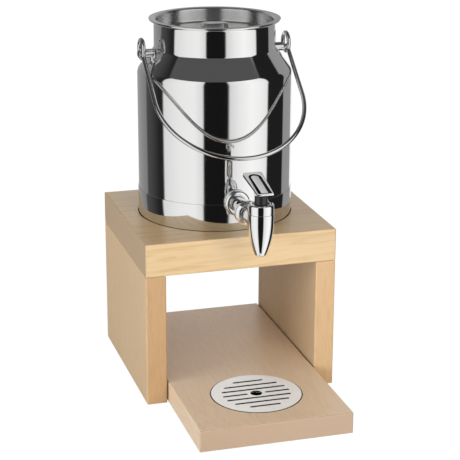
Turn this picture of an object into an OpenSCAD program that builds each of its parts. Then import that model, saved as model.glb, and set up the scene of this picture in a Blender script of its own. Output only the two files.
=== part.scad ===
// Milk dispenser: a steel milk can with a spring tap, set in a wooden stand over a loose drip board.
// Millimetres, +Z up. The origin is under the middle of the object, on the surface it stands on.

/* [Stand] */
// Width of the stand
stand_w = 200; // [190:1:240]
// Depth of the stand, front to back
stand_d = 194; // [188:1:205]
// Height of the top plate's underside above the table
leg_h = 138; // [110:1:200]
// Thickness of each leg
leg_t = 21; // [16:1:28]
// Thickness of the top plate
plate_t = 34; // [28:1:45]
// Rounding of the wooden edges
wood_r = 1.5; // [0.8:0.1:3]
// Distance from the stand's front to the can's axis
can_setback = 102; // [96:1:105]
// Depth of the round seat for the can in the top plate
seat_depth = 3; // [1.5:0.5:8]
// Clearance round the can in its seat
seat_gap = 0.8; // [0.4:0.1:1.5]
// Diameter of the dowels that join the legs to the top plate
dowel_d = 8; // [6:1:10]
// Length of the dowels
dowel_len = 40; // [30:1:48]
// Dowels along each leg
dowels = 4; // [2:1:5]

/* [Feet] */
// Diameter of the rubber feet
foot_d = 14; // [8:1:15]
// Height of the feet under the wood
foot_proud = 0.8; // [0.5:0.1:2]
// Depth of the feet in the wood
foot_sunk = 1.6; // [1:0.1:3]

/* [Drip board] */
// Length of the drip board, front to back
board_l = 313; // [300:1:360]
// Thickness of the drip board
board_t = 22.4; // [20:0.2:30]
// Clearance between the drip board and each leg
board_gap = 1.25; // [0.5:0.05:3]
// Distance from the stand's front to the middle of the drip tray
tray_ahead = 50; // [48:1:58]
// Diameter of the round recess for the drip tray
tray_d = 93; // [86:1:100]
// Clearance round the drip tray in its recess
tray_gap = 0.75; // [0.4:0.05:1.5]
// Width of the wooden ledge that carries the drip tray
ledge_w = 3; // [2:0.5:5]
// Depth of the drip bowl
bowl_depth = 14; // [8:0.5:15]
// Thickness of the drip bowl's steel
bowl_wall = 0.8; // [0.6:0.1:1.2]
// Thickness of the drip grate
grate_t = 1.5; // [1:0.1:2]
// Height of the drip grate above the board
grate_proud = 0.3; // [0:0.1:0.8]

/* [Grate slots] */
// Width of the slots
slot_w = 3; // [1.5:0.1:3.5]
// Distance from slot to slot
slot_pitch = 10; // [7:0.5:11]
// Radius of the slotted field
slot_reach = 33.3; // [31.5:0.1:36]
// Rows of slots on each side of the middle row
slot_rows = 3; // [1:1:3]
// Diameter of the finger hole
finger_d = 12; // [10:1:16]
// Metal left between the finger hole and the middle slots
finger_land = 3; // [2:0.5:6]

/* [Can] */
// Outer radius of the can
can_r = 80; // [76:0.5:84]
// Thickness of the can's steel
wall_t = 1; // [0.8:0.1:1.5]
// Height of the base band
band_h = 31; // [24:1:31]
// Thickness of the base band
band_t = 0.5; // [0.4:0.1:0.8]
// Height of the body's edge below the shoulder, above the can's base
shoulder_h = 154.5; // [130:0.5:180]
// Height of the shoulder
shoulder_rise = 23; // [18:0.5:30]
// Outer radius of the neck
neck_r = 62.8; // [58:0.1:64]
// Height of the neck with its rim
neck_rise = 28.7; // [26:0.1:40]
// Radius of the rim
rim_r = 67.2; // [66.5:0.1:69]
// Bend from the body into the shoulder
shoulder_bend = 7; // [4:0.5:10]
// Bend from the shoulder into the neck
neck_bend = 4; // [2:0.5:8]
// Bend from the neck into the rim
rim_bend = 2.6; // [2:0.1:3.4]

/* [Lid] */
// Depth of the dish in the lid
dish_depth = 15; // [12:0.5:20]
// Thickness of the lid's steel
lid_t = 0.8; // [0.6:0.1:1.2]
// Clearance between the lid's wall and the neck
lid_gap = 0.9; // [0.6:0.1:1.5]
// Height of the seal round the lid
seal_h = 4; // [2:0.5:6]
// Overhang of the lid past the can's rim
lid_over = 0.5; // [0:0.1:1]
// Length of the bow of the lid's handle
bow_l = 26; // [22:1:40]
// Width of the handle's strap
bow_w = 12; // [8:1:18]
// Thickness of the handle's strap
bow_t = 1.5; // [1:0.1:2]
// Height of the handle above the dish
bow_h = 10.5; // [8:0.5:12]
// Length of each foot of the handle
bow_foot = 9; // [7:0.5:14]
// Diameter of the handle's rivets
rivet_d = 4; // [3:0.5:5]

/* [Bail] */
// Diameter of the bail's wire
wire_d = 4.4; // [3:0.2:5]
// Distance from the can's axis to the plane of each bail eye
eye_x = 77; // [75:0.5:78]
// Radius of the eye at the middle of its wire
eye_r = 9.5; // [8.5:0.5:11]
// Height of the eye's centre below the rim of the neck
eye_drop = 28.2; // [27:0.2:32]
// Length of the bail from the middle of its eyes to its grip
bail_reach = 145.5; // [130:0.5:158]
// Clearance between the resting bail and the can's shoulder
bail_gap = 0.3; // [0.3:0.1:2]
// Opening left at the end of each eye, in degrees
eye_open = 32; // [28:1:60]
// Diameter of the pin that carries each eye
ear_pin_d = 5; // [4:0.5:6]
// Diameter of the boss on the shoulder
ear_boss_d = 9; // [8:0.5:11]
// Diameter of the pin's head
ear_head_d = 8.4; // [7:0.2:10]
// Thickness of the pin's head
ear_head_t = 1.6; // [1:0.1:3]
// Side clearance of each eye on its pin
eye_side_gap = 0.5; // [0.3:0.1:1]
// Clearance between the eye and its pin
eye_pin_gap = 0.3; // [0.1:0.1:1]

/* [Tap] */
// Height of the tap's shank above the can's base
tap_h = 33; // [27:0.5:40]
// Distance from the can's wall to the middle of the spout
spout_out = 81; // [70:0.5:100]
// Largest radius of the spout
spout_r = 12.9; // [12.2:0.1:15]
// Radius of the spout's tip
tip_r = 5.3; // [5:0.1:7]
// Distance from the shank's axis down to the spout's tip
spout_drop = 29.5; // [24:0.5:32]
// Height of the spout's seam with the cap ring above the shank's axis
spout_rise = 12.9; // [11:0.1:16]
// Length of the tapered part of the spout
taper_l = 34; // [26:0.5:34]
// Radius of the outlet
outlet_r = 4; // [3:0.1:4.2]
// Radius of the shank
shank_r = 7.9; // [7:0.1:8]
// Radius of the bore through the shank
shank_bore_r = 4.5; // [3:0.1:5]
// Length of the shank inside the can's wall
shank_in = 13; // [12.5:0.5:20]
// Radius of the valve chamber
chamber_r = 8.2; // [7.4:0.1:8.6]
// Distance from the shank's axis down to the valve seat
seat_drop = 7.5; // [6:0.5:10]
// Radius of the wall flange
flange_r = 13; // [12.6:0.1:16]
// Thickness of the wall flange
flange_t = 4.5; // [3:0.5:8]
// Radius of the coupling nut
coupling_r = 12.7; // [11:0.1:14]
// Length of the coupling nut
coupling_l = 9; // [7:0.5:12]
// Distance from the can's wall to the coupling nut
coupling_out = 33; // [20:0.5:40]
// Radius of the washers at the can's wall
washer_r = 12; // [11:0.1:12.4]
// Thickness of the washers at the can's wall
washer_t = 2; // [1.5:0.1:3]
// Width across the flats of the inner nut
nut_flats = 24; // [20:1:28]
// Thickness of the inner nut
nut_t = 6; // [4:0.5:8]

/* [Tap bonnet and valve] */
// Height of the cap ring on the spout
cap_h = 9.5; // [8:0.5:12]
// Radius of the hole in the top of the cap ring
cap_hole_r = 8.6; // [7.8:0.1:9]
// Radius of the black neck under the lever
bonnet_r = 6.3; // [6:0.1:7.2]
// Height of the black neck above the cap ring
bonnet_rise = 8.3; // [7:0.1:10]
// Radius of the spigot under the cap ring
spigot_r = 10.5; // [9.8:0.1:11]
// Radius of the valve stem
stem_r = 3; // [2.5:0.1:3.2]
// Radius of the valve's rubber cup
cup_r = 6.6; // [5.2:0.1:6.8]
// Height of the valve's rubber cup
cup_h = 10; // [8:0.5:12]
// Outer radius of the valve spring
spring_r = 4.4; // [4.2:0.1:4.6]
// Wire of the valve spring
spring_wire = 0.9; // [0.6:0.1:1.1]

/* [Lever] */
// Width of the lever
lever_w = 17.8; // [17:0.1:20]
// Extra width of the lever's back over its front
lever_flare = 1.8; // [0:0.1:4]
// Length of the lever behind its pin
lever_back = 32; // [24:0.5:36]
// Length of the lever in front of its pin
lever_front = 14; // [12:0.5:16]
// Slope of the closed lever, in degrees
lever_slope = 12.2; // [8:0.2:16]
// Thickness of the lever's floor
lever_floor = 1.9; // [1.5:0.1:3]
// Height of the rim round the lever's recess
lever_rim = 1.3; // [1:0.1:2]
// Width of the rim round the lever's recess
lever_edge = 2.3; // [1.8:0.1:3]
// Length of the solid end of the lever behind its recess
lever_tail = 4.5; // [3:0.5:8]
// Radius of the lever's pin
pin_r = 1; // [0.8:0.1:1.1]
// Height of the lever's pin above the black neck
pin_rise = 2.2; // [2.1:0.1:2.6]
// Height of the lever's floor above its pin
floor_rise = 2.5; // [2.3:0.1:3.5]

/* [Hidden] */
$fn = 96;

// A cut runs this far past the face it opens
cut = 1;
// Clearance of turned parts that are screwed or slipped together
slip = 0.05;
// Steps in each bend of a turned outline
bend_steps = 8;

// Places along the depth, from the back of the stand
back_y = board_l / 2;
front_y = back_y - stand_d;
can_y = front_y + can_setback;
tray_y = front_y - tray_ahead;

// Heights of the stand and the board
plate_z = leg_h + plate_t;
can_z = plate_z - seat_depth;
board_w = stand_w - 2 * leg_t - 2 * board_gap;
board_z = foot_proud + board_t;
seat_r = can_r + band_t + slip + seat_gap;

// Drip tray
flange_z = board_z + grate_proud - grate_t - bowl_wall;
tray_r = tray_d / 2 - tray_gap;
pocket_r = tray_d / 2 - ledge_w;
bowl_r = pocket_r - tray_gap;
bowl_z = flange_z + bowl_wall - bowl_depth;

// Can
shoulder_z = can_z + shoulder_h;
neck_z = shoulder_z + shoulder_rise;
rim_z = neck_z + neck_rise;
floor_z = can_z + band_t;
cone_a = atan2(can_r - neck_r, shoulder_rise);
weld_z = shoulder_z - shoulder_bend * tan(cone_a / 2);
neck_in = neck_r - wall_t;
band_r = can_r + slip + band_t;

// Lid
lid_r = rim_r + lid_over;
lid_wall_r = neck_in - lid_gap;
lid_z = rim_z + lid_t;
dish_z = lid_z - dish_depth;
dish_bend = 3;
lip_bend = 1.6;
seal_r = neck_in - slip;
seal_z = dish_z + dish_bend;

// Bail and its ears
wire_r = wire_d / 2;
eye_z = rim_z - eye_drop;
edge_drop = eye_z - shoulder_z;
edge_ahead = sqrt(pow(can_r + wire_r + bail_gap, 2) - pow(eye_x, 2));
bail_tilt = atan2(edge_ahead, edge_drop);
grip_z = bail_reach - eye_x;
ear_z = eye_z - eye_r + wire_r + eye_pin_gap + ear_pin_d / 2;
boss_end = eye_x - wire_r - eye_side_gap;
ear_head_x = eye_x + wire_r + eye_side_gap;

// Tap, measured along the shank from the can's wall
tap_z = can_z + tap_h;
spout_y = can_y - can_r - spout_out;
hole_r = shank_r + slip;
shank_end = coupling_out + coupling_l / 2;
nut_start = wall_t + washer_t + 1;
spout_top = tap_z + spout_rise;
tip_z = tap_z - spout_drop;
taper_z = tip_z + taper_l;
seat_z = tap_z - seat_drop;
taper_in = spout_r - tip_r;
taper_bend = (taper_l * taper_l + taper_in * taper_in) / (2 * taper_in);

// Bonnet, valve and lever
cap_z = spout_top + slip;
cap_top = cap_z + cap_h;
cap_lip = 1;
cap_taper = 0.4;
bonnet_flange = 1.6;
flange_top = cap_top - cap_lip - slip;
spigot_top = flange_top - bonnet_flange - slip;
bonnet_top = cap_top + bonnet_rise;
bonnet_roof = 4;
spring_top = bonnet_top - bonnet_roof;
spring_room = spring_r + 0.4;
cup_top = seat_z + cup_h;
collar_t = 1.2;
spring_z = cup_top + collar_t;
pin_z = bonnet_top + pin_rise;
eye_half = 3;
tongue_r = 2;
lug_gap = 0.3;
lug_t = 3;
lug_reach = 4.6;
lug_drop = pin_rise - 0.3;
lever_corner = 3;

// Points of a bend round c with radius r, from angle a0 to a1
function bend(c, r, a0, a1) =
    [for (i = [0 : bend_steps]) let (a = a0 + (a1 - a0) * i / bend_steps) c + r * [cos(a), sin(a)]];

// The can's wall from the weld under the shoulder to the rim, moved inwards by o
function can_side(o) = let (half = tan(cone_a / 2)) concat(
    bend([can_r - shoulder_bend, shoulder_z - shoulder_bend * half], shoulder_bend - o, 0, cone_a),
    bend([neck_r + neck_bend, neck_z + neck_bend * half], neck_bend + o, 180 + cone_a, 180),
    bend([neck_r + rim_bend, rim_z - wall_t - rim_bend], rim_bend + o, 180, 90),
    [[rim_r, rim_z - wall_t + o]]);

function reversed(list) = [for (i = [len(list) - 1 : -1 : 0]) list[i]];

// A cylinder that lies along Y, from distance a to distance b in front of the can's axis
module along_y(r, a, b) {
    translate([0, can_y - a, tap_z]) rotate([90, 0, 0]) cylinder(r = r, h = b - a);
}

// A turned shape that lies along Y: its outline holds radius and distance from the can's wall
module turned_y(outline) {
    translate([0, can_y - can_r, tap_z]) rotate([90, 0, 0]) rotate_extrude() polygon(outline);
}

// A rectangle with round corners, from its lowest corner
module round_rect(size, r) {
    translate([r, 0]) square([size[0] - 2 * r, size[1]]);
    translate([0, r]) square([size[0], size[1] - 2 * r]);
    for (x = [r, size[0] - r], y = [r, size[1] - r]) translate([x, y]) circle(r = r, $fn = 24);
}

// A block of wood with its edges rounded, from its lowest corner
module wood_block(size) {
    intersection() {
        linear_extrude(size[2]) round_rect([size[0], size[1]], wood_r);
        translate([0, size[1], 0]) rotate([90, 0, 0])
            linear_extrude(size[1]) round_rect([size[0], size[2]], wood_r);
        rotate([90, 0, 90]) linear_extrude(size[0]) round_rect([size[1], size[2]], wood_r);
    }
}

// Places of the dowels, for one leg at side -1 or 1
function dowel_x(side) = side * (stand_w - leg_t) / 2;
function dowel_y(i) = front_y + stand_d * (i + 0.5) / dowels;

module dowel_holes(side, grow) {
    for (i = [0 : dowels - 1])
        translate([dowel_x(side), dowel_y(i), leg_h - dowel_len / 2 - grow])
            cylinder(d = dowel_d + 2 * slip, h = dowel_len + 2 * grow, $fn = 48);
}

module foot_pad(grow) {
    cylinder(d = foot_d + 2 * grow, h = foot_proud + foot_sunk, $fn = 48);
}

module leg_foot_places(side) {
    for (y = [front_y + leg_t, front_y + stand_d - leg_t])
        translate([dowel_x(side), y, 0]) children();
}

module board_foot_places() {
    inset = leg_t;
    for (x = [-1, 1], y = [inset - board_l / 2, board_l / 2 - inset])
        translate([x * (board_w / 2 - inset), y, 0]) children();
}

module top_plate() {
    color("burlywood") difference() {
        translate([-stand_w / 2, front_y, leg_h]) wood_block([stand_w, stand_d, plate_t]);
        translate([0, can_y, can_z]) cylinder(r = seat_r, h = seat_depth + cut);
        for (side = [-1, 1]) dowel_holes(side, cut);
    }
}

module leg(side) {
    low = side < 0 ? -stand_w / 2 : stand_w / 2 - leg_t;
    color("tan") difference() {
        translate([low, front_y, foot_proud]) wood_block([leg_t, stand_d, leg_h - foot_proud]);
        dowel_holes(side, cut);
        leg_foot_places(side) foot_pad(slip);
    }
}

module left_leg() {
    leg(-1);
}

module right_leg() {
    leg(1);
}

module leg_dowels() {
    color("wheat") for (side = [-1, 1], i = [0 : dowels - 1])
        translate([dowel_x(side), dowel_y(i), leg_h - dowel_len / 2])
            cylinder(d = dowel_d, h = dowel_len, $fn = 48);
}

module leg_feet() {
    color("dimgray") for (side = [-1, 1]) leg_foot_places(side) foot_pad(0);
}

module board_feet() {
    color("dimgray") board_foot_places() foot_pad(0);
}

module drip_board() {
    color("burlywood") difference() {
        translate([-board_w / 2, -board_l / 2, foot_proud]) wood_block([board_w, board_l, board_t]);
        translate([0, tray_y, flange_z]) cylinder(d = tray_d, h = board_t);
        translate([0, tray_y, bowl_z - tray_gap]) cylinder(r = pocket_r, h = board_t);
        board_foot_places() foot_pad(slip);
    }
}

// The bowl hangs by its flange on the board's ledge
module drip_bowl() {
    bowl_bend = 3;
    color("silver") translate([0, tray_y, 0]) rotate_extrude() polygon(concat(
        [[0, bowl_z]],
        bend([bowl_r - bowl_bend, bowl_z + bowl_bend], bowl_bend, -90, 0),
        [[bowl_r, flange_z], [tray_r, flange_z], [tray_r, flange_z + bowl_wall],
         [bowl_r - bowl_wall, flange_z + bowl_wall]],
        bend([bowl_r - bowl_bend, bowl_z + bowl_bend], bowl_bend - bowl_wall, 0, -90),
        [[0, bowl_z + bowl_wall]]));
}

module slot(x0, x1) {
    translate([x0, -slot_w / 2]) square([x1 - x0, slot_w]);
    for (x = [x0, x1]) translate([x, 0]) circle(d = slot_w, $fn = 24);
}

module grate_openings() {
    circle(d = finger_d);
    land = finger_d / 2 + finger_land + slot_w / 2;
    for (side = [0, 180]) rotate(side) slot(land, slot_reach);
    for (row = [1 : slot_rows], side = [-1, 1]) {
        half = sqrt(pow(slot_reach, 2) - pow(row * slot_pitch, 2));
        translate([0, side * row * slot_pitch]) slot(-half, half);
    }
}

// The grate lies on the bowl's flange, and a ring under it keeps it in the middle
module drip_grate() {
    ring_r = bowl_r - bowl_wall - tray_gap / 2;
    ring_t = 1;
    ring_h = 2;
    edge = 0.5;
    grate_z = flange_z + bowl_wall;
    color("gainsboro") translate([0, tray_y, grate_z]) {
        difference() {
            rotate_extrude() polygon([[0, 0], [tray_r, 0], [tray_r, grate_t - edge],
                [tray_r - edge, grate_t], [0, grate_t]]);
            translate([0, 0, -cut]) linear_extrude(grate_t + 2 * cut) grate_openings();
        }
        translate([0, 0, -ring_h]) difference() {
            cylinder(r = ring_r, h = ring_h);
            translate([0, 0, -cut]) cylinder(r = ring_r - ring_t, h = ring_h + cut);
        }
    }
}

module can_body() {
    base_bend = 3;
    color("silver") difference() {
        translate([0, can_y, 0]) rotate_extrude($fn = 180) polygon(concat(
            [[0, floor_z]],
            bend([can_r - base_bend, floor_z + base_bend], base_bend, -90, 0),
            [[can_r, weld_z], [can_r - wall_t, weld_z]],
            bend([can_r - base_bend, floor_z + base_bend], base_bend - wall_t, 0, -90),
            [[0, floor_z + wall_t]]));
        along_y(hole_r, can_r / 2, can_r + cut);
    }
}

// The shoulder and the neck are one pressing, welded edge to edge on the body
module can_neck() {
    color("silver") translate([0, can_y, 0]) rotate_extrude($fn = 180)
        polygon(concat(can_side(0), reversed(can_side(wall_t))));
}

// The base band is slipped over the foot of the can and turned in under it
module base_band() {
    foot_in = 8;
    color("lightgray") difference() {
        translate([0, can_y, can_z]) rotate_extrude($fn = 180) polygon([
            [can_r - foot_in, 0], [band_r, 0], [band_r, band_h],
            [can_r + slip, band_h], [can_r + slip, band_t - slip], [can_r - foot_in, band_t - slip]]);
        along_y(hole_r, can_r / 2, band_r + cut);
    }
}

// The solid outside of the can, which the ears and the outer washer are shaped against
module can_outside(grow) {
    translate([0, can_y, 0]) {
        rotate_extrude($fn = 180)
            polygon(concat([[0, floor_z], [can_r + grow, floor_z]], can_side(-grow), [[0, rim_z]]));
        translate([0, 0, can_z]) cylinder(r = band_r + grow, h = band_h + grow, $fn = 180);
    }
}

// An ear is a boss welded to the shoulder, with a headed pin through the bail's eye
module ear(side) {
    color("lightgray") translate([0, can_y, ear_z]) rotate([0, side * 90, 0]) {
        difference() {
            cylinder(d = ear_boss_d, h = boss_end);
            rotate([0, -side * 90, 0]) translate([0, -can_y, -ear_z]) can_outside(0);
        }
        translate([0, 0, boss_end]) cylinder(d = ear_pin_d, h = ear_head_x - boss_end);
        translate([0, 0, ear_head_x]) rotate_extrude() polygon([[0, 0], [ear_head_d / 2, 0],
            [ear_head_d / 2, ear_head_t / 2], [ear_pin_d / 2, ear_head_t], [0, ear_head_t]]);
    }
}

module left_ear() {
    ear(-1);
}

module right_ear() {
    ear(1);
}

// One eye, with its wire starting where the bail's leg meets it and its end left open
module bail_eye() {
    turn = 360 - eye_open;
    mirror([0, 1, 0]) rotate([0, 90, 0]) {
        rotate_extrude(angle = turn, $fn = 64) translate([eye_r, 0]) circle(r = wire_r, $fn = 24);
        rotate([0, 0, turn]) translate([eye_r, 0, 0]) sphere(r = 0.9 * wire_r, $fn = 24);
    }
}

// The bail lies forward on the shoulder: straight legs, a half-round grip and an eye at each end
module bail_handle() {
    color("silver") translate([0, can_y, eye_z]) rotate([-bail_tilt, 0, 0]) {
        for (side = [-1, 1]) translate([side * eye_x, 0, 0]) {
            bail_eye();
            translate([0, 0, -grip_z]) cylinder(r = wire_r, h = grip_z - eye_r, $fn = 24);
        }
        translate([0, 0, -grip_z]) rotate([-90, 0, 0])
            rotate_extrude(angle = 180) translate([eye_x, 0]) circle(r = wire_r, $fn = 24);
    }
}

// The lid is a dish that hangs in the neck by its rim
module lid_dish() {
    wall_in = lid_wall_r - lid_t;
    rim_in = lid_wall_r + lip_bend;
    color("silver") translate([0, can_y, 0]) rotate_extrude($fn = 180) polygon(concat(
        [[0, dish_z - lid_t]],
        bend([lid_wall_r - dish_bend, dish_z - lid_t + dish_bend], dish_bend, -90, 0),
        bend([rim_in, rim_z - lip_bend], lip_bend, 180, 90),
        [[lid_r, rim_z], [lid_r, lid_z]],
        bend([rim_in, rim_z - lip_bend], lip_bend + lid_t, 90, 180),
        bend([wall_in - dish_bend + lid_t, dish_z - lid_t + dish_bend], dish_bend - lid_t, 0, -90),
        [[0, dish_z]]));
}

module lid_seal() {
    color("whitesmoke") translate([0, can_y, seal_z]) difference() {
        cylinder(r = seal_r, h = seal_h, $fn = 180);
        translate([0, 0, -cut]) cylinder(r = lid_wall_r, h = seal_h + 2 * cut, $fn = 180);
    }
}

function rivet_x(side) = side * (bow_l + bow_foot) / 2;

// The lid's handle is a bent strap with a foot at each end
module lid_handle() {
    bow_bend = 4;
    half = bow_l / 2;
    color("silver") translate([0, can_y, dish_z]) difference() {
        rotate([90, 0, 0]) translate([0, 0, -bow_w / 2]) linear_extrude(bow_w) {
            difference() {
                union() {
                    translate([-half, 0]) square([bow_l, bow_h - bow_bend]);
                    translate([bow_bend - half, 0]) square([bow_l - 2 * bow_bend, bow_h]);
                    for (side = [-1, 1])
                        translate([side * (half - bow_bend), bow_h - bow_bend]) circle(r = bow_bend);
                    translate([-half - bow_foot, 0]) square([bow_l + 2 * bow_foot, bow_t]);
                }
                translate([bow_t - half, -cut]) square([bow_l - 2 * bow_t, bow_h - bow_bend + cut]);
                translate([bow_bend - half, -cut])
                    square([bow_l - 2 * bow_bend, bow_h - bow_t + cut]);
                for (side = [-1, 1]) translate([side * (half - bow_bend), bow_h - bow_bend])
                    circle(r = bow_bend - bow_t);
            }
        }
        for (side = [-1, 1])
            translate([rivet_x(side), 0, -cut]) cylinder(d = rivet_d + 2 * slip, h = bow_h, $fn = 48);
    }
}

// The rivets stand on the dish and hold the handle's feet down with their heads
module lid_rivets() {
    head_t = 1;
    head_over = 1.2;
    color("lightgray") for (side = [-1, 1]) translate([rivet_x(side), can_y, dish_z])
        rotate_extrude($fn = 48) polygon([[0, 0], [rivet_d / 2, 0], [rivet_d / 2, bow_t],
            [rivet_d / 2 + head_over, bow_t], [rivet_d / 2, bow_t + head_t], [0, bow_t + head_t]]);
}

module tap_shank() {
    color("silver") difference() {
        along_y(shank_r, can_r - shank_in, can_r + shank_end);
        along_y(shank_bore_r, can_r - shank_in - cut, can_r + shank_end + cut);
    }
}

module tap_flange() {
    face = washer_t + flange_t;
    color("silver") turned_y(concat(
        [[hole_r, washer_t], [flange_r - 1, washer_t], [flange_r, washer_t + 1]],
        bend([flange_r - flange_t + 1, washer_t + 1], flange_t - 1, 0, 90),
        [[hole_r + 1, face], [hole_r, face - 1]]));
}

module outer_washer() {
    color("whitesmoke") difference() {
        along_y(washer_r, can_r / 2, can_r + washer_t);
        can_outside(0);
        along_y(hole_r, can_r / 2 - cut, can_r + washer_t + cut);
    }
}

module inner_washer() {
    color("whitesmoke") difference() {
        intersection() {
            along_y(washer_r, can_r - nut_start, can_r);
            translate([0, can_y, can_z]) cylinder(r = can_r - wall_t, h = 2 * tap_h, $fn = 180);
        }
        along_y(hole_r, can_r / 2, can_r + cut);
    }
}

module inner_nut() {
    color("silver") difference() {
        translate([0, can_y - can_r + nut_start + nut_t, tap_z]) rotate([90, 0, 0])
            cylinder(d = nut_flats / cos(30), h = nut_t, $fn = 6);
        along_y(hole_r, can_r - nut_start - nut_t - cut, can_r - nut_start + cut);
    }
}

module coupling_nut() {
    far = coupling_out + coupling_l;
    bevel = 1.2;
    color("silver") turned_y([[hole_r, coupling_out], [coupling_r - bevel, coupling_out],
        [coupling_r, coupling_out + bevel], [coupling_r, far - 3 * bevel],
        [coupling_r - 2 * bevel, far], [hole_r, far]]);
}

// Radius of the spout at height z above its tip
function spout_at(z) = spout_r - taper_bend + sqrt(pow(taper_bend, 2) - pow(taper_l - z, 2));

module tap_spout() {
    tip_edge = 0.8;
    steps = 14;
    color("silver") difference() {
        union() {
            translate([0, spout_y, 0]) rotate_extrude() polygon(concat(
                [[0, tip_z], [tip_r - tip_edge, tip_z]],
                [for (i = [0 : steps]) let (z = tip_edge + (taper_l - tip_edge) * i / steps)
                    [spout_at(z), tip_z + z]],
                [[spout_r, spout_top], [spigot_r, spout_top], [spigot_r, spigot_top], [0, spigot_top]]));
            along_y(shank_r, can_r + shank_end, can_r + spout_out);
        }
        translate([0, spout_y, seat_z]) cylinder(r = chamber_r, h = spigot_top - seat_z + cut);
        translate([0, spout_y, tip_z - cut]) cylinder(r = outlet_r, h = seat_z - tip_z + 2 * cut);
        along_y(shank_bore_r, can_r + shank_end - cut, can_r + spout_out);
    }
}

// The cap ring screws over the spigot and holds the black neck down
module cap_ring() {
    top_bend = 2.4;
    color("silver") translate([0, spout_y, 0]) rotate_extrude() polygon(concat(
        [[spigot_r + slip, cap_z], [spout_r, cap_z]],
        bend([spout_r - cap_taper - top_bend, cap_top - top_bend], top_bend, 0, 90),
        [[cap_hole_r, cap_top], [cap_hole_r, cap_top - cap_lip],
         [spigot_r + slip, cap_top - cap_lip]]));
}

module tap_bonnet() {
    edge = 0.6;
    color("#202022") translate([0, spout_y, 0]) rotate_extrude() polygon([
        [spring_room, spigot_top + slip], [spigot_r, spigot_top + slip], [spigot_r, flange_top],
        [cap_hole_r - slip, flange_top], [cap_hole_r - slip, cap_top],
        [bonnet_r, cap_top], [bonnet_r, bonnet_top - edge], [bonnet_r - edge, bonnet_top],
        [stem_r + slip, bonnet_top], [stem_r + slip, spring_top], [spring_room, spring_top]]);
}

// The stem lifts the rubber cup off its seat; its tongue is pinned to the lever
module valve_stem() {
    foot = seat_z + 2;
    neck_top = bonnet_top + 0.2;
    color("lightgray") difference() {
        union() {
            translate([0, spout_y, foot]) cylinder(r = stem_r, h = neck_top - foot, $fn = 48);
            translate([0, spout_y, cup_top]) cylinder(r = spring_r, h = collar_t);
            translate([-eye_half, spout_y - tongue_r, neck_top - cut])
                cube([2 * eye_half, 2 * tongue_r, pin_z - neck_top + cut]);
            translate([-eye_half, spout_y, pin_z]) rotate([0, 90, 0])
                cylinder(r = tongue_r, h = 2 * eye_half, $fn = 48);
        }
        translate([-eye_half - cut, spout_y, pin_z]) rotate([0, 90, 0])
            cylinder(r = pin_r + slip, h = 2 * (eye_half + cut), $fn = 48);
        stem_corners(neck_top);
    }
}

// What is left of the tongue outside the stem's own radius is cut away where it enters the neck
module stem_corners(neck_top) {
    translate([0, spout_y, bonnet_top - cut]) difference() {
        cylinder(r = 2 * stem_r, h = cut + neck_top - bonnet_top);
        translate([0, 0, -cut]) cylinder(r = stem_r, h = 3 * cut + neck_top - bonnet_top, $fn = 48);
    }
}

module valve_cup() {
    cup_edge = 1;
    foot = seat_z + 2;
    color("whitesmoke") translate([0, spout_y, 0]) rotate_extrude() polygon([
        [0, seat_z], [cup_r, seat_z], [cup_r, cup_top - 3], [spring_r, cup_top - cup_edge],
        [spring_r, cup_top], [stem_r, cup_top], [stem_r, foot], [0, foot]]);
}

module valve_spring() {
    color("gray") translate([0, spout_y, spring_z]) difference() {
        cylinder(r = spring_r, h = spring_top - spring_z);
        translate([0, 0, -cut]) cylinder(r = spring_r - spring_wire, h = spring_top - spring_z + 2 * cut);
    }
}

module lever_pin() {
    half = eye_half + lug_gap + lug_t;
    color("lightgray") translate([-half, spout_y, pin_z]) rotate([0, 90, 0])
        cylinder(r = pin_r, h = 2 * half, $fn = 48);
}

// Outline of the lever's top: narrower in front, with its back corners rounded
module lever_outline() {
    front = (lever_w - lever_flare) / 2;
    back = (lever_w + lever_flare) / 2;
    polygon([[-front, -lever_front], [front, -lever_front], [back, lever_back - lever_corner],
        [back - lever_corner, lever_back], [lever_corner - back, lever_back],
        [-back, lever_back - lever_corner]]);
    for (side = [-1, 1])
        translate([side * (back - lever_corner), lever_back - lever_corner]) circle(r = lever_corner);
}

// A strip in the lever's top with a half-round back end at y
module lever_arch(half, y) {
    translate([-half, lever_edge - lever_front]) square([2 * half, y + lever_front - lever_edge - half]);
    translate([0, y - half]) circle(r = half);
}

// The lever's plate has a recess with a raised pad in it, and is bevelled under its front edge
module lever_top() {
    arch_y = lever_back - lever_tail;
    arch_half = lever_w / 2 - lever_flare / 2 - lever_edge;
    pad_side = 1.4;
    pad_t = 0.6;
    bevel = lever_floor - 0.4;
    translate([0, 0, floor_rise]) difference() {
        linear_extrude(lever_floor + lever_rim) lever_outline();
        translate([0, 0, lever_floor]) linear_extrude(lever_rim + cut) difference() {
            lever_arch(arch_half, arch_y);
            lever_arch(arch_half - pad_side, arch_y - pad_side);
        }
        translate([0, 0, lever_floor + pad_t]) linear_extrude(lever_rim)
            lever_arch(arch_half - pad_side, arch_y - pad_side);
        translate([-lever_w, -lever_front, 0]) rotate([90, 0, 90]) linear_extrude(2 * lever_w)
            polygon([[-cut, -cut], [2 * bevel, -cut], [2 * bevel, 0], [0, bevel], [-cut, bevel]]);
    }
}

// The lever is pinned to the stem, and its lugs roll on the black neck to lift the stem
module tap_lever() {
    lug_x = eye_half + lug_gap;
    lug_l = 2 * lug_reach;
    color("silver") translate([0, spout_y, pin_z]) difference() {
        union() {
            rotate([lever_slope, 0, 0]) lever_top();
            for (side = [-1, 1]) translate([side * (lug_x + lug_t / 2) - lug_t / 2, -lug_reach, -lug_drop])
                cube([lug_t, lug_l, lug_drop + floor_rise + lever_floor / 2]);
        }
        translate([-lever_w / 2, 0, 0]) rotate([0, 90, 0])
            cylinder(r = pin_r + slip, h = lever_w, $fn = 48);
    }
}

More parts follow.
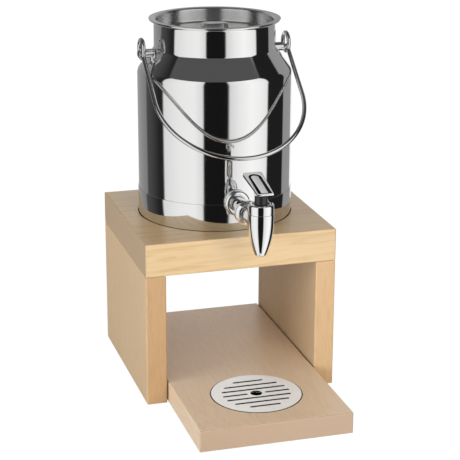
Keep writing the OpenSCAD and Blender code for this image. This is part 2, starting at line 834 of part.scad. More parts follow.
top_plate();
left_leg();
right_leg();
leg_dowels();
leg_feet();
drip_board();
board_feet();
drip_bowl();
drip_grate();
can_body();
can_neck();
base_band();
left_ear();
right_ear();
bail_handle();
lid_dish();
lid_seal();
lid_handle();
lid_rivets();
tap_shank();
tap_flange();
outer_washer();
inner_washer();
inner_nut();
coupling_nut();
tap_spout();
cap_ring();
tap_bonnet();
valve_stem();
valve_cup();
valve_spring();
lever_pin();
tap_lever();
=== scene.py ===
"""The looks of a milk dispenser: maple stand, polished steel can, chromed tap, satin drip disc, studio."""

from math import asin, atan2, degrees, pi, radians, sqrt, tan

import bmesh
import bpy
from mathutils import Matrix, Vector


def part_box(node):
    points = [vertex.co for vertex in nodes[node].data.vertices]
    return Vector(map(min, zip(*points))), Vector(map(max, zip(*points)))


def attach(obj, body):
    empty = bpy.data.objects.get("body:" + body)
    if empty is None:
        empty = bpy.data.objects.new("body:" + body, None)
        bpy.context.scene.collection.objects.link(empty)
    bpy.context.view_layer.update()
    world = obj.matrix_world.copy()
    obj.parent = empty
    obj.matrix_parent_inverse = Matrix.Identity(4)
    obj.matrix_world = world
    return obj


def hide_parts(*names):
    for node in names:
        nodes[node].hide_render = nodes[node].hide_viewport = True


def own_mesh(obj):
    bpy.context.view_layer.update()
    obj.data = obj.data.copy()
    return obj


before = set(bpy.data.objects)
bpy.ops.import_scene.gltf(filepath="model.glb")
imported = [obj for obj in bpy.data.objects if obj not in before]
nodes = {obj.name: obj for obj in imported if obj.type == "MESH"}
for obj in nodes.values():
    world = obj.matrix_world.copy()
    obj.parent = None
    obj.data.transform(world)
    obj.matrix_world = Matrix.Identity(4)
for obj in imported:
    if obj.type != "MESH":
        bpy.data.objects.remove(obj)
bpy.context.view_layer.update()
MM = 0.001

# sizes in millimetres, as in the part's source

CAN_Y = 64.5
CAN_R, WALL = 80, 1
FLOOR_Z, SHOULDER_Z, NECK_Z, RIM_Z = 169.5, 323.5, 346.5, 375.2
NECK_R, RIM_R = 62.8, 67.2
BAND_Z, BAND_TOP, BAND_R = 169, 200, 80.55
LID_Z, DISH_Z, LID_R, LID_WALL_R, LID_T = 376, 361, 67.7, 60.9, 0.8
EYE_X, EYE_Z, EYE_R, WIRE_R, REACH = 77, 347, 9.5, 2.2, 145.5
TAP_Z, SPOUT_Y, SPOUT_R = 202, -96.5, 12.9
TUBE_R, BORE_R = 7.9, 4.5
SEAM_Z, CAP_TOP, BONNET_TOP = 214.9, 224.45, 232.75
PIN_Z = 234.95
DISC_Y, DISC_TOP = -87.5, 23.5
PLATE_END, LEG_FRONT, BOARD_END = 99, -36.9, 155.5    # where the plate's and board's end grain and the legs' sides behind their fronts begin; past these the wood gets a painted shade
FAR = 999


# finishes

class Value:
    """A socket whose value may change from place to place; sums on it add Math nodes."""

    def __init__(self, graph, socket):
        self.graph, self.socket = graph, socket

    def __add__(self, other): return self.graph.math("ADD", self, other)
    def __radd__(self, other): return self.graph.math("ADD", other, self)
    def __sub__(self, other): return self.graph.math("SUBTRACT", self, other)
    def __rsub__(self, other): return self.graph.math("SUBTRACT", other, self)
    def __mul__(self, other): return self.graph.math("MULTIPLY", self, other)
    def __rmul__(self, other): return self.graph.math("MULTIPLY", other, self)
    def __truediv__(self, other): return self.graph.math("DIVIDE", self, other)
    def __pow__(self, other): return self.graph.math("POWER", self, other)


class Graph:
    """A node tree whose nodes are added by name."""

    def __init__(self, tree):
        self.tree = tree

    def feed(self, socket, value):
        """Links a Value to a socket, or sets the socket to a plain number or colour."""
        if isinstance(value, Value):
            self.tree.links.new(value.socket, socket)
        else:
            socket.default_value = value

    def node(self, kind, settings=None, sockets=None, out=0):
        made = self.tree.nodes.new("ShaderNode" + kind)
        for key, value in (settings or {}).items():
            if key == "stops":
                while len(made.color_ramp.elements) < len(value):
                    made.color_ramp.elements.new(0.5)
                for stop, (place, colour) in zip(made.color_ramp.elements, value):
                    stop.position, stop.color = place, (*colour, 1)
            else:
                setattr(made, key, value)
        for key, value in (sockets or {}).items():
            self.feed(made.inputs[key], value)
        return Value(self, made.outputs[out])

    def math(self, operation, *terms):
        return self.node("Math", {"operation": operation}, dict(enumerate(terms)))


class Finish(Graph):
    """A material with one Principled shader."""

    def __init__(self, name, **plain):
        self.material = bpy.data.materials.new(name)
        self.material.use_nodes = True
        super().__init__(self.material.node_tree)
        self.shader = self.tree.nodes["Principled BSDF"]
        self.surface = self.tree.nodes["Material Output"].inputs["Surface"]
        self.set(**plain)

    def set(self, **sockets):
        for key, value in sockets.items():
            self.feed(self.shader.inputs[key.replace("_", " ").title().replace("Ior", "IOR")], value)

    def place(self, centre=(0, 0, 0), turn=(0, 0, 0), scale=(1, 1, 1)):
        """Object coordinates, moved so that centre is their origin, then scaled and turned."""
        here = self.node("TexCoord", out=3)
        moved = self.node("VectorMath", {"operation": "SUBTRACT"}, {0: here, 1: centre})
        return self.mapped(moved, turn, scale)

    def mapped(self, where, turn=(0, 0, 0), scale=(1, 1, 1)):
        return self.node("Mapping", {}, {"Vector": where, "Rotation": turn, "Scale": scale})

    def part(self, where, axis):
        """One coordinate of a place."""
        return self.node("SeparateXYZ", {}, {"Vector": where}, out="XYZ".index(axis))

    def noise(self, where, scale, detail=3.0, rough=0.5, twist=0.0):
        return self.node("TexNoise", {}, {"Vector": where, "Scale": scale, "Detail": detail,
                                          "Roughness": rough, "Distortion": twist})

    def ramp(self, factor, *stops):
        return self.node("ValToRGB", {"stops": stops}, {"Fac": factor})

    def blend(self, factor, a, b, way="MIX"):
        """From colour a to colour b."""
        a, b = (c if isinstance(c, Value) else (*c, 1) for c in (a, b))
        return self.node("Mix", {"data_type": "RGBA", "blend_type": way}, {0: factor, 6: a, 7: b}, out=2)

    def bump(self, height, strength, distance):
        return self.node("Bump", {}, {"Height": height, "Strength": strength, "Distance": distance})


GRAIN_STRETCH, GRAIN_LEAN = 14.0, 0.02


def maple(name, along, light, deep, seed, end_grain_and_shade=None, shine=0.35, figure=0.30, rings=9.0):
    """Oiled pale maple with its grain along an axis.

    Past the low and high of its span, on the span's axis, the colour is multiplied by the span's tone and the
    figure fades by the span's last number: painted shade, which on the plate's and board's ends stands partly for
    their darker end grain.
    Shine is the gloss of the oil, figure the strength of the growth lines, and rings their number.
    """
    middle = [(a + b) / 2 for a, b in zip(light, deep)]
    wood = Finish(name, specular_ior_level=shine)
    here = wood.place(centre=(seed, 0.37 * seed, -0.61 * seed))
    drift = wood.noise(here, 5.0, 2.0)
    long = wood.mapped(here, turn=[0.0 if axis == along else GRAIN_LEAN for axis in "XYZ"],
                       scale=[1.0 if axis == along else GRAIN_STRETCH for axis in "XYZ"])
    growth = wood.noise(long, 7.0, 3.0, 0.55, 0.6)
    lines = wood.math("PINGPONG", growth * rings + drift * 2.0, 0.5) * 2.0
    fibres = wood.noise(long, 60.0, 4.0, 0.65)
    mixed = lines ** 2.0 * figure + fibres * 0.20 + drift * 0.55
    tone = wood.ramp(mixed, (0.2, light), (0.62, middle), (0.9, deep))
    flecks = wood.ramp(wood.noise(long, 130.0, 2.0), (0.62, (0, 0, 0)), (0.74, (1, 1, 1)))
    fleck_mask = wood.node("RGBToBW", {}, {"Color": flecks}) * 0.05
    colour = wood.blend(fleck_mask, tone, [0.62 * c for c in deep])
    if end_grain_and_shade:
        axis, low, high, end_and_shade_tone, fade = end_grain_and_shade
        reach = wood.part(wood.place(), axis)
        outside = wood.math("LESS_THAN", reach, low * MM) + wood.math("GREATER_THAN", reach, high * MM)
        colour = wood.blend(outside * fade, colour, middle)
        colour = wood.blend(outside, colour, end_and_shade_tone, "MULTIPLY")
    wood.set(base_color=colour,
             roughness=0.50 - 0.25 * shine + fibres * 0.14,
             normal=wood.bump(fibres * 0.7 + growth * 0.3, 0.10, 0.0004))
    return wood.material


def polished(name, colour, gloss, wave=0.02, streak=(1, 1, 1), turned_by=0.0, metallic=1.0):
    """Bright metal: a faint haze that changes from place to place, and very slight waves.

    Turned_by is how far the traces of turning stretch its reflections.
    """
    steel = Finish(name, metallic=metallic, anisotropic=turned_by, anisotropic_rotation=0.25)
    here = steel.place(scale=streak)
    haze = steel.noise(here, 30.0, 4.0, 0.6)
    steel.set(base_color=steel.blend(haze * 0.5, colour, [0.94 * c for c in colour]),
              roughness=gloss + haze * (0.05 - 0.045 * turned_by),
              normal=steel.bump(steel.noise(here, 14.0, 1.0), wave, 0.002))
    return steel.material


SLOT_SHADE_MIDDLE, SLOT_SHADE_HALF = -0.00072, 0.00068    # the height of the slots' walls and the disc's rim, from the disc's top, in metres; there the satin is painted near-black as shade


def turned_satin(name, colour, centre):
    """Satin steel with fine rings round its middle; between its faces, on the slots' walls and the disc's rim, it
    is painted near-black as shade.
    """
    steel = Finish(name, metallic=0.22)
    here = steel.place(centre=centre)
    level = steel.node("VectorMath", {"operation": "MULTIPLY"}, {0: here, 1: (1, 1, 0)})
    radius = steel.node("VectorMath", {"operation": "LENGTH"}, {0: level}, out=1)
    rings = steel.node("TexNoise", {"noise_dimensions": "1D"}, {"W": radius * 2600.0, "Scale": 1.0, "Detail": 2.0})
    patches = steel.noise(here, 40.0)
    # painted shade: the slots' walls and the disc's rim turn near-black
    painted_slot_shade = steel.node("Math", {"operation": "COMPARE"}, {0: steel.part(here, "Z"), 1: SLOT_SHADE_MIDDLE, 2: SLOT_SHADE_HALF})
    face = steel.blend(rings * 0.5 + patches * 0.2, colour, [0.9 * c for c in colour])
    steel.set(base_color=steel.blend(painted_slot_shade, face, (0.004, 0.004, 0.004)),
              roughness=0.30 + rings * 0.10,
              normal=steel.bump(rings, 0.12, 0.0002))
    return steel.material


def moulded(name, colour, rough, grain=400.0, strength=0.05):
    """Moulded rubber or plastic: a fine grain and slight changes of tone."""
    stuff = Finish(name, metallic=0.0)
    here = stuff.place()
    tone = stuff.noise(here, 25.0)
    fine = stuff.noise(here, grain, 2.0)
    stuff.set(base_color=stuff.blend(tone, colour, [0.82 * c for c in colour]),
              roughness=rough + tone * 0.08,
              normal=stuff.bump(fine, strength, 0.0003))
    return stuff.material


PLATE, PLATE_WARM = (0.575, 0.415, 0.235), (0.475, 0.30, 0.14)
LEG, LEG_WARM = (0.525, 0.365, 0.218), (0.43, 0.275, 0.144)
BOARD, BOARD_WARM = (0.68, 0.51, 0.355), (0.57, 0.395, 0.25)
BEECH, BEECH_WARM = (0.52, 0.37, 0.22), (0.43, 0.27, 0.15)
# past each span: on the plate's and board's ends a darker tone, partly end grain and partly painted shade; on the
# legs' sides painted shade, darker on the left leg, a slight warm tint on the right
plate_wood = maple("plate_maple", "X", PLATE, PLATE_WARM, 0.11,
                   ("X", -PLATE_END, PLATE_END, (0.72, 0.70, 0.75), 0.8), 0.8, 0.45, 4.0)
left_wood = maple("left_leg_maple", "Z", LEG, LEG_WARM, 0.43, ("Y", LEG_FRONT, FAR, (0.81, 0.72, 0.62), 0.0))
right_wood = maple("right_leg_maple", "Z", LEG, LEG_WARM, 0.61, ("Y", LEG_FRONT, FAR, (1.02, 0.965, 0.895), 0.0))
board_wood = maple("board_maple", "Y", BOARD, BOARD_WARM, 0.79,
                   ("Y", -BOARD_END, BOARD_END, (0.60, 0.57, 0.57), 0.7), 0.8)
dowel_wood = maple("dowel_beech", "Z", BEECH, BEECH_WARM, 0.27)
can_steel = polished("polished_can", (0.82, 0.82, 0.815), 0.035)
lid_steel = polished("buffed_lid", (0.78, 0.78, 0.775), 0.25, 0.0, turned_by=0.9)
wire_steel = polished("polished_wire", (0.68, 0.68, 0.68), 0.05)
# painted shade: near-black steel on the lever's recess, the pad's sides and the plate's long sides
lever_painted_shade = polished("shade_painted_steel", (0.035, 0.035, 0.035), 0.2)
pad_satin = polished("satin_pad", (0.64, 0.64, 0.635), 0.35, metallic=0.3)
tap_chrome = polished("bright_chrome", (0.86, 0.86, 0.86), 0.05, 0.01)
disc_satin = turned_satin("satin_disc", (0.97, 0.965, 0.955), (0, DISC_Y * MM, DISC_TOP * MM))
hidden_steel = polished("drawn_steel", (0.62, 0.62, 0.62), 0.22, 0.05, (1, 1, 6))
# the drip bowl's steel is painted very dark, as the shade under the disc
bowl_painted_shade = polished("bowl_painted_shade", (0.11, 0.11, 0.11), 0.22, 0.05)
silicone = moulded("white_silicone", (0.82, 0.82, 0.80), 0.42)
rubber = moulded("dark_rubber", (0.045, 0.045, 0.045), 0.62, 900.0, 0.2)
black_neck = moulded("black_gloss", (0.012, 0.012, 0.013), 0.12, 200.0, 0.01)

NODE_FINISH = {
    plate_wood: ["top_plate"],
    left_wood: ["left_leg"],
    right_wood: ["right_leg"],
    board_wood: ["drip_board"],
    dowel_wood: ["leg_dowels"],
    rubber: ["leg_feet", "board_feet"],
    can_steel: ["can_body", "can_neck", "base_band", "lid_dish"],
    wire_steel: ["left_ear", "right_ear", "bail_handle", "lid_handle", "lid_rivets", "lever_pin"],
    tap_chrome: ["tap_flange", "tap_shank", "coupling_nut", "tap_spout", "cap_ring", "tap_lever"],
    disc_satin: ["drip_grate"],
    bowl_painted_shade: ["drip_bowl"],
    hidden_steel: ["inner_nut", "valve_spring", "valve_stem"],
    silicone: ["lid_seal", "outer_washer", "inner_washer", "valve_cup"],
    black_neck: ["tap_bonnet"],
}
for finish, names in NODE_FINISH.items():
    for name in names:
        slots = nodes[name].data.materials
        slots.clear()
        slots.append(finish)


# making pieces

def in_scene(bm, name, *finishes):
    """Puts a mesh in metres in the scene."""
    mesh = bpy.data.meshes.new(name)
    bm.to_mesh(mesh)
    bm.free()
    made = bpy.data.objects.new(name, mesh)
    bpy.context.scene.collection.objects.link(made)
    for finish in finishes:
        mesh.materials.append(finish)
    return made


def bent(bm, angle):
    """The edges where two faces meet at more than an angle in degrees."""
    return [e for e in bm.edges if len(e.link_faces) == 2 and e.calc_face_angle(0) > radians(angle)]


def only(kind, geometry):
    return [g for g in geometry if isinstance(g, kind)]


def finished(bm, name, finish, body, stands_for=(), sharp=32, more=()):
    """Puts a mesh in millimetres in the scene as a piece that rides on a body."""
    bmesh.ops.transform(bm, matrix=Matrix.Scale(MM, 4), verts=bm.verts)
    for face in bm.faces:
        face.smooth = True
    for edge in bent(bm, sharp):
        edge.smooth = False
    piece = in_scene(bm, name, finish, *more)
    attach(piece, body)
    if stands_for:
        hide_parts(*stands_for)
    return piece


def round_corners(bm, corners, size, segments=3, affect="EDGES"):
    bmesh.ops.bevel(bm, geom=corners, offset=size, offset_type="OFFSET", affect=affect, segments=segments,
                    profile=0.5, material=-1, clamp_overlap=True)


def clean(bm):
    """Joins what lies in one place, and turns all faces outwards."""
    bmesh.ops.remove_doubles(bm, verts=bm.verts, dist=1e-4)
    bmesh.ops.recalc_face_normals(bm, faces=bm.faces)


def mirrored(bm):
    """Adds the other half, across X = 0."""
    bmesh.ops.mirror(bm, geom=list(bm.verts) + list(bm.edges) + list(bm.faces), axis="X", merge_dist=1e-3)
    clean(bm)


def turned(outline, steps):
    """A mesh turned about Z from (radius, height, rounding) points: closed on the axis, or a ring."""
    bm = bmesh.new()
    dots = [bm.verts.new((r, 0, h)) for r, h, _ in outline]
    lines = [bm.edges.new(pair) for pair in zip(dots, dots[1:])]
    if outline[0][0] > 0:
        lines.append(bm.edges.new((dots[-1], dots[0])))
    bmesh.ops.spin(bm, geom=dots + lines, cent=(0, 0, 0), axis=(0, 0, 1), dvec=(0, 0, 0), angle=2 * pi,
                   steps=steps, use_merge=True)
    clean(bm)
    for r, h, size in outline:
        if size:
            circle = [e for e in bm.edges
                      if all(abs(v.co.z - h) < 1e-4 and abs(v.co.xy.length - r) < 1e-3 for v in e.verts)]
            round_corners(bm, circle, size, 8 if size > 1.5 else 3)
    return bm


def put(bm, x, y, z, turn=None):
    """Turns a mesh by a matrix, then moves it."""
    if turn is not None:
        bmesh.ops.transform(bm, matrix=turn.to_4x4(), verts=bm.verts)
    bmesh.ops.translate(bm, vec=(x, y, z), verts=bm.verts)
    return bm


FORWARD = Matrix.Rotation(radians(90), 3, "X")    # what points up is turned to the front
SIDEWAYS = Matrix.Rotation(radians(90), 3, "Y")


def about_can(outline):
    """A mesh turned about the can's axis."""
    return put(turned(outline, 256), 0, CAN_Y, 0)


def about_spout(outline, steps=128):
    """A mesh turned about the spout's axis."""
    return put(turned(outline, steps), 0, SPOUT_Y, 0)


def along_front(outline):
    """A mesh turned about the tap's shank; heights run forward from the can's wall."""
    return put(turned(outline, 96), 0, CAN_Y - CAN_R, TAP_Z, FORWARD)


# the can and its lid; a rounding's size is how far from the corner it starts

half = tan(atan2(CAN_R - NECK_R, NECK_Z - SHOULDER_Z) / 2)    # that distance at the shoulder, for a radius of 1
neck_in, can_in = NECK_R - WALL, CAN_R - WALL
can = about_can([
    (0, FLOOR_Z, 0), (CAN_R, FLOOR_Z, 3), (CAN_R, SHOULDER_Z, 11 * half), (NECK_R, NECK_Z, 4 * half),
    (NECK_R, RIM_Z - WALL, 2.6), (RIM_R, RIM_Z - WALL, 0.3), (RIM_R, RIM_Z, 0.3),
    (neck_in, RIM_Z, 3.6), (neck_in, NECK_Z - WALL * half, 5 * half),
    (can_in, SHOULDER_Z - WALL * half, 6 * half), (can_in, FLOOR_Z + WALL, 2), (0, FLOOR_Z + WALL, 0)])
finished(can, "can_shell", can_steel, "can", ["can_body", "can_neck"])

band_in, under = CAN_R + 0.05, FLOOR_Z - 0.05
band = about_can([
    (CAN_R - 8, BAND_Z, 0), (BAND_R, BAND_Z, 0.6), (BAND_R, BAND_TOP, 0.3), (band_in, BAND_TOP, 0),
    (band_in, under, 0), (CAN_R - 8, under, 0)])
finished(band, "foot_band", can_steel, "can", ["base_band"])

lid = about_can([
    (0, DISH_Z - LID_T, 0), (LID_WALL_R, DISH_Z - LID_T, 3), (LID_WALL_R, RIM_Z, 1.6), (LID_R, RIM_Z, 0.2),
    (LID_R, LID_Z, 0.3), (LID_WALL_R - LID_T, LID_Z, 2.4), (LID_WALL_R - LID_T, DISH_Z, 2.2), (0, DISH_Z, 0)])
finished(lid, "lid_pan", lid_steel, "lid", ["lid_dish"])


# the bail, one wire with an eye at each end

def swing(bm, end, centre, axis, angle, steps):
    """Carries the wire's end round an arc."""
    return bmesh.ops.spin(bm, geom=end, cent=centre, axis=axis, dvec=(0, 0, 0), angle=radians(angle),
                          steps=steps, use_merge=False, use_duplicate=False)["geom_last"]


def straight(bm, end, step):
    """Carries the wire's end along a straight line."""
    grown = bmesh.ops.extrude_edge_only(bm, edges=only(bmesh.types.BMEdge, end))["geom"]
    bmesh.ops.translate(bm, vec=step, verts=only(bmesh.types.BMVert, grown))
    return [g for g in grown if not isinstance(g, bmesh.types.BMFace)]


TURN_IN, EYE_TURN, REST_GAP = 3.0, 327, 0.3
bail = bmesh.new()
bow_z = EYE_X - REACH
leg_top = -sqrt((EYE_R + TURN_IN) ** 2 - TURN_IN ** 2)
start = degrees(asin(TURN_IN / (EYE_R + TURN_IN)))
bmesh.ops.create_circle(bail, cap_ends=False, radius=WIRE_R, segments=24)
put(bail, 0, 0, -REACH, SIDEWAYS)
end = list(bail.verts) + list(bail.edges)
end = swing(bail, end, (0, 0, bow_z), (0, -1, 0), 90, 56)
end = straight(bail, end, (0, 0, leg_top - bow_z))
end = swing(bail, end, (EYE_X, -TURN_IN, leg_top), (1, 0, 0), 90 - start, 12)
end = swing(bail, end, (EYE_X, 0, 0), (-1, 0, 0), EYE_TURN - start, 72)
cap = bmesh.ops.edgeloop_fill(bail, edges=only(bmesh.types.BMEdge, end))["faces"]
round_corners(bail, list(cap[0].edges), 0.8)
mirrored(bail)
ahead = sqrt((CAN_R + WIRE_R + REST_GAP) ** 2 - EYE_X ** 2)
put(bail, 0, CAN_Y, EYE_Z, Matrix.Rotation(-atan2(ahead, EYE_Z - SHOULDER_Z), 3, "X"))
finished(bail, "bail_wire", wire_steel, "bail", ["bail_handle"])


# the tap; the branch runs on from the shank and ends inside the spout

SHANK_BACK, SHANK_END, BRANCH_END = -13, 37.5, 72
COLLAR_IN = 7.95
shank = along_front([(BORE_R, SHANK_BACK, 0), (TUBE_R, SHANK_BACK, 0.5), (TUBE_R, SHANK_END, 0),
                     (BORE_R, SHANK_END, 0)])
finished(shank, "shank_tube", tap_chrome, "can", ["tap_shank"])

rosette = along_front([(COLLAR_IN, 2, 0), (13, 2, 0.5), (13, 6.5, 3.2), (COLLAR_IN, 6.5, 0.6)])
finished(rosette, "wall_rosette", tap_chrome, "can", ["tap_flange"])

collar = along_front([(COLLAR_IN, 33, 0), (12.7, 33, 1.1), (12.7, 38.4, 0.5), (10.3, 42, 0.4),
                      (COLLAR_IN, 42, 0.3)])
finished(collar, "coupling_collar", tap_chrome, "can", ["coupling_nut"])

TAPER, TIP_R, CHAMBER_R, CHAMBER_TOP = 34, 5.3, 10.5, 221.8
tip_z = TAP_Z - 29.5
draw_in = SPOUT_R - TIP_R
arc = (TAPER ** 2 + draw_in ** 2) / (2 * draw_in)
barrel = [(SPOUT_R - arc + sqrt(arc ** 2 - (TAPER - h) ** 2), tip_z + h, 0) for h in range(1, TAPER, 3)]
spout = about_spout([(4, tip_z, 0.25), (TIP_R, tip_z, 0.7)] + barrel + [
    (SPOUT_R, tip_z + TAPER, 0), (SPOUT_R, SEAM_Z - 0.1, 0.25), (CHAMBER_R, SEAM_Z - 0.1, 0),
    (CHAMBER_R, CHAMBER_TOP, 0), (4, CHAMBER_TOP, 0)])
finished(spout, "spout_barrel", tap_chrome, "can", ["tap_spout"])
branch = along_front([(BORE_R, SHANK_END, 0), (TUBE_R, SHANK_END, 0), (TUBE_R, BRANCH_END, 0),
                      (BORE_R, BRANCH_END, 0)])
finished(branch, "spout_branch", tap_chrome, "can")

cap_ring = about_spout([
    (10.55, SEAM_Z + 0.05, 0), (SPOUT_R, SEAM_Z + 0.05, 0.25), (12.5, CAP_TOP, 2.4), (8.6, CAP_TOP, 0.3),
    (8.6, CAP_TOP - 1, 0), (10.55, CAP_TOP - 1, 0)])
finished(cap_ring, "cap_collar", tap_chrome, "can", ["cap_ring"])

NECK_FOOT, ROOF = 221.9, 228.8
neck = about_spout([
    (4.8, NECK_FOOT, 0), (10.5, NECK_FOOT, 0), (10.5, 223.4, 0), (8.55, 223.4, 0), (8.55, CAP_TOP, 0.2),
    (6.3, CAP_TOP, 0.8), (6.3, BONNET_TOP, 0.7), (3.05, BONNET_TOP, 0.2), (3.05, ROOF, 0), (4.8, ROOF, 0)], 96)
finished(neck, "black_neck_turned", black_neck, "can", ["tap_bonnet"])


# the return spring, a coil between the valve's collar and the roof of the black neck

COILS, COIL_STEPS, COIL_SIDES, COIL_R, COIL_WIRE = 5, 32, 12, 3.95, 0.45
spring_low, spring_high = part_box("valve_spring")
bottom, top = spring_low[2] / MM + COIL_WIRE, spring_high[2] / MM - COIL_WIRE
coil = bmesh.new()
bmesh.ops.create_circle(coil, cap_ends=False, radius=COIL_WIRE, segments=COIL_SIDES)
put(coil, COIL_R, 0, 0, FORWARD)
bmesh.ops.spin(coil, geom=list(coil.verts) + list(coil.edges), cent=(0, 0, 0), axis=(0, 0, 1),
               dvec=(0, 0, (top - bottom) / (COILS * COIL_STEPS)), angle=2 * pi * COILS,
               steps=COILS * COIL_STEPS, use_merge=False)
bmesh.ops.holes_fill(coil, edges=coil.edges, sides=COIL_SIDES)
bmesh.ops.recalc_face_normals(coil, faces=coil.faces)
put(coil, 0, SPOUT_Y, bottom)
spring = finished(coil, "return_spring", hidden_steel, "can", ["valve_spring"], 60)
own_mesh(spring)


# the lever: a flat plate with a recess, and a raised pad in the recess

def plate_edge(bm, shape, z, front_up=0.0):
    """The edge of a flat plate with two rounded back corners, and its front side raised a little.

    Shape is half its width in front and behind, its y in front and behind, and the rounding.
    """
    front, back, front_y, back_y, corner = shape
    before = set(bm.edges)
    dots = [bm.verts.new(co) for co in ((-front, front_y, z + front_up), (front, front_y, z + front_up),
                                        (back, back_y, z), (-back, back_y, z))]
    bm.faces.new(dots)
    round_corners(bm, dots[2:], corner, 10, "VERTICES")
    made = [e for e in bm.edges if e not in before]
    bmesh.ops.delete(bm, geom=list({f for e in made for f in e.link_faces}), context="FACES_ONLY")
    return made


def spread(bm, loops, up):
    """Moves each loop up by its place in the list, because loops in one plane aren't bridged well."""
    for step, edge_loop in enumerate(loops):
        bmesh.ops.translate(bm, vec=(0, 0, up * step), verts=list({v for e in edge_loop for v in e.verts}))


LEVER_FLOOR, LEVER_TILT, THICK, SUNK, PAD, APART = 2.5, 12.2, 3.2, 1.6, 1.3, 20
OUTSIDE = (8.0, 9.8, -14, 32, 3)
RECESS = (6.8, 6.2, -12.1, 27.5, 6.15)
RAISED = (3.5, 3.9, -10.6, 25.5, 3.85)
CHROME, PAINTED_SHADE, SATIN = 0, 1, 2
RIM_FINISH = (CHROME, SATIN, PAINTED_SHADE, PAINTED_SHADE, PAINTED_SHADE)
lever = bmesh.new()
rims = [plate_edge(lever, OUTSIDE, 0, 1.5), plate_edge(lever, OUTSIDE, THICK),
        plate_edge(lever, RECESS, THICK), plate_edge(lever, RECESS, THICK - SUNK),
        plate_edge(lever, RAISED, THICK - SUNK), plate_edge(lever, RAISED, THICK - SUNK + PAD)]
spread(lever, rims, APART)
# the recess's walls and floor, the pad's sides and the plate's long sides get the painted shade
for step, (low, high) in enumerate(zip(rims, rims[1:])):
    for face in bmesh.ops.bridge_loops(lever, edges=low + high)["faces"]:
        on_long_side = step == 0 and -13 < face.calc_center_median().y < 27
        face.material_index = PAINTED_SHADE if on_long_side else RIM_FINISH[step]
spread(lever, rims, -APART)
for edge_loop, index in ((rims[0], CHROME), (rims[-1], SATIN)):
    for face in bmesh.ops.edgeloop_fill(lever, edges=edge_loop)["faces"]:
        face.material_index = index
bmesh.ops.recalc_face_normals(lever, faces=lever.faces)
round_corners(lever, bent(lever, 40), 0.3, 2)
put(lever, 0, 0, LEVER_FLOOR)
bmesh.ops.transform(lever, matrix=Matrix.Rotation(radians(LEVER_TILT), 4, "X"), verts=lever.verts)

LUG, LUG_X, LUG_Z = (3, 9.2, 5.2), 4.8, 0.7
for side in (-1, 1):
    lug = bmesh.ops.create_cube(lever, size=1)["verts"]
    bmesh.ops.scale(lever, vec=LUG, verts=lug)
    bmesh.ops.translate(lever, vec=(side * LUG_X, 0, LUG_Z), verts=lug)
    across = {e for v in lug for e in v.link_edges if abs(e.verts[0].co.x - e.verts[1].co.x) > 1}
    round_corners(lever, list(across), 1.2, 4)
put(lever, 0, SPOUT_Y, PIN_Z)
finished(lever, "lever_plate", tap_chrome, "lever", ["tap_lever"], 40, (lever_painted_shade, pad_satin))


# the lid's strap handle: half of it is bent up from its foot, and mirrored

BOW, STRAP, STRAP_W, FOOT_END, BOW_TOP = 13, 1.5, 12, 22, 10.5
FOLD, KNEE = 1.0, 4.0
strap = bmesh.new()
bmesh.ops.create_grid(strap, x_segments=1, y_segments=1, size=0.5)
bmesh.ops.scale(strap, vec=(STRAP, STRAP_W, 1), verts=strap.verts)
put(strap, -FOOT_END, 0, STRAP / 2, SIDEWAYS)
end = list(strap.verts) + list(strap.edges)
end = straight(strap, end, (FOOT_END - BOW - FOLD, 0, 0))
end = swing(strap, end, (-BOW - FOLD, 0, STRAP + FOLD), (0, -1, 0), 90, 6)
end = straight(strap, end, (0, 0, BOW_TOP - KNEE - STRAP - FOLD))
end = swing(strap, end, (-BOW + KNEE, 0, BOW_TOP - KNEE), (0, 1, 0), 90, 8)
end = straight(strap, end, (BOW - KNEE, 0, 0))
mirrored(strap)
round_corners(strap, bent(strap, 60), 0.3, 2)
put(strap, 0, CAN_Y, DISH_Z)
finished(strap, "lid_strap", wire_steel, "lid", ["lid_handle"])


# floor, studio and camera, in metres

def staged(bm, name, finish, reflected_only=False):
    """Puts a mesh in the scene as part of the studio."""
    made = in_scene(bm, name, finish)
    if reflected_only:
        made.visible_camera = made.visible_diffuse = made.visible_shadow = False
        made.visible_transmission = made.visible_volume_scatter = False
    return made


def sheet_between(*corners):
    bm = bmesh.new()
    bm.faces.new([bm.verts.new(c) for c in corners])
    return bm


def glow(name, grey):
    """A stage material that only glows: a grey, or what a function makes of the finish."""
    card = Finish(name)
    card.tree.nodes.remove(card.shader)
    colour = grey(card) if callable(grey) else (grey, grey, grey, 1)
    card.feed(card.surface, card.node("Emission", {}, {"Color": colour}))
    return card.material


# the floor is white where the camera sees it, apart from the object's shadow
floor_finish = Finish("studio_floor", base_color=(0.86, 0.86, 0.86, 1), roughness=0.9)
seen_straight = floor_finish.node("LightPath", out="Is Camera Ray")
white = floor_finish.node("Emission", {}, {"Strength": 1.06})
matt = Value(floor_finish, floor_finish.shader.outputs[0])
floor_finish.feed(floor_finish.surface,
                  floor_finish.node("MixShader", {}, {0: seen_straight * 0.92, 1: matt, 2: white}))
ground = staged(sheet_between((-4, -4, 0), (4, -4, 0), (4, 6, 0), (-4, 6, 0)), "studio_floor",
                floor_finish.material)
ground.visible_glossy = False

LENS_AT = Vector((-0.4154823, -1.3866292, 0.6360021))
LOOKS_AT = Vector((-0.0303601, -0.0950115, 0.2))
ROLL, FOCAL_PX, PHOTO_PX, SENSOR = 0.0039, 1484.966, 460, 36
TO_CAMERA = atan2(LENS_AT.y - CAN_Y * MM, LENS_AT.x)

# bearing round the can in degrees, from the camera's side and growing to its right, and the grey there
BANDS = [(-180, 0.46), (-115, 0.24), (-113, 0.085), (-98, 0.055), (-84, 0.02), (-77.5, 0.02), (-74.5, 0.84),
         (-50, 0.98), (-28, 1.02), (-16, 0.84), (-14, 0.009), (18, 0.009), (21, 0.80), (34, 0.97), (52, 1.12),
         (66, 1.05), (78, 0.94), (80, 0.015), (114, 0.015), (116, 0.32), (180, 0.34)]


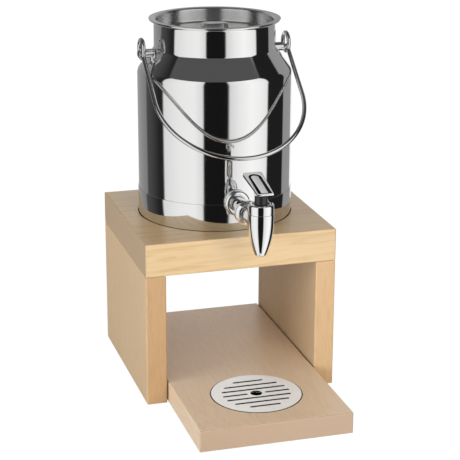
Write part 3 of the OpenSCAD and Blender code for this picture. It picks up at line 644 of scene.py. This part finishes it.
def bands(card):
    """The screen's grey by its bearing round the can."""
    here = card.place(centre=(0, CAN_Y * MM, 0))
    turned_to = card.mapped(here, turn=(0, 0, pi - TO_CAMERA))
    bearing = card.math("ARCTAN2", 0.0 - card.part(turned_to, "Y"), 0.0 - card.part(turned_to, "X"))
    return card.ramp(bearing / (2 * pi) + 0.5, *[((t + 180) / 360, (g, g, g)) for t, g in BANDS])


def ring(radius, z, filled=False):
    """A circle round the can's axis."""
    bm = bmesh.new()
    bmesh.ops.create_circle(bm, cap_ends=filled, radius=radius, segments=180)
    return put(bm, 0, CAN_Y * MM, z)


SCREEN_R, SCREEN_LOW, SCREEN_TOP = 0.55, -0.6, 0.772
tube = ring(SCREEN_R, SCREEN_LOW)
rise = bmesh.ops.extrude_edge_only(tube, edges=list(tube.edges))["geom"]
bmesh.ops.translate(tube, vec=(0, 0, SCREEN_TOP - SCREEN_LOW), verts=only(bmesh.types.BMVert, rise))
staged(tube, "studio_screen", glow("screen_bands", bands), True)
staged(ring(SCREEN_R, SCREEN_TOP, True), "studio_ceiling", glow("ceiling_grey", 0.095), True)

CARD_LEFT, CARD_RIGHT, CARD_Y, CARD_LOW, CARD_TOP = -0.05, 0.4, 0.42, 0.05, 0.36
staged(sheet_between((CARD_LEFT, CARD_Y, CARD_LOW), (CARD_RIGHT, CARD_Y, CARD_LOW),
                     (CARD_RIGHT, CARD_Y, CARD_TOP), (CARD_LEFT, CARD_Y, CARD_TOP)),
       "studio_back_card", glow("card_white", 0.95), True)


def lamp(name, place, aim, size, power, colour):
    """A square lamp that doesn't show in reflections."""
    light = bpy.data.lights.new(name, "AREA")
    light.shape, light.size, light.energy, light.color = "SQUARE", size, power, colour
    made = bpy.data.objects.new(name, light)
    bpy.context.scene.collection.objects.link(made)
    made.location = place
    made.rotation_euler = (Vector(aim) - Vector(place)).to_track_quat("-Z", "Y").to_euler()
    made.visible_glossy = False


lamp("key", (0.3, -1.9, 0.8), (0, 0, 0.15), 1.0, 23, (1, 0.95, 0.86))
lamp("left", (-1.8, -0.5, 0.7), (0, 0, 0.15), 1.2, 25, (0.87, 0.94, 1))
lamp("top", (0.3, 0.3, 1.9), (0, 0, 0.1), 1.2, 2.8, (0.92, 0.94, 1))
lamp("fill", (-0.95, -1.5, 0.22), (0.05, 0.1, 0.06), 0.8, 19, (0.8, 0.92, 1))

# the world is white where it is seen, and lights the object at a lower level
SKY_LIGHT = 0.40
world = bpy.data.worlds.new("studio_world")
bpy.context.scene.world = world
world.use_nodes = True
sky = Graph(world.node_tree)
background = sky.tree.nodes["Background"]
seen = sky.math("MAXIMUM", sky.node("LightPath", out="Is Camera Ray"),
                sky.node("LightPath", out="Is Transmission Ray"))
seen = sky.math("MAXIMUM", seen, sky.node("LightPath", out="Is Glossy Ray"))
sky.feed(background.inputs["Strength"], seen * (1 - SKY_LIGHT) + SKY_LIGHT)
sky.feed(background.inputs["Color"], (1, 1, 1, 1))

camera = bpy.data.cameras.new("camera")
camera.sensor_width = SENSOR
camera.lens = FOCAL_PX / PHOTO_PX * SENSOR
camera.clip_end = 20
viewer = bpy.data.objects.new("camera", camera)
bpy.context.scene.collection.objects.link(viewer)
viewer.matrix_world = (Matrix.Translation(LENS_AT)
                       @ (LOOKS_AT - LENS_AT).to_track_quat("-Z", "Y").to_matrix().to_4x4()
                       @ Matrix.Rotation(ROLL, 4, "Z"))
bpy.context.scene.camera = viewer
bpy.context.scene.view_settings.view_transform = "Standard"
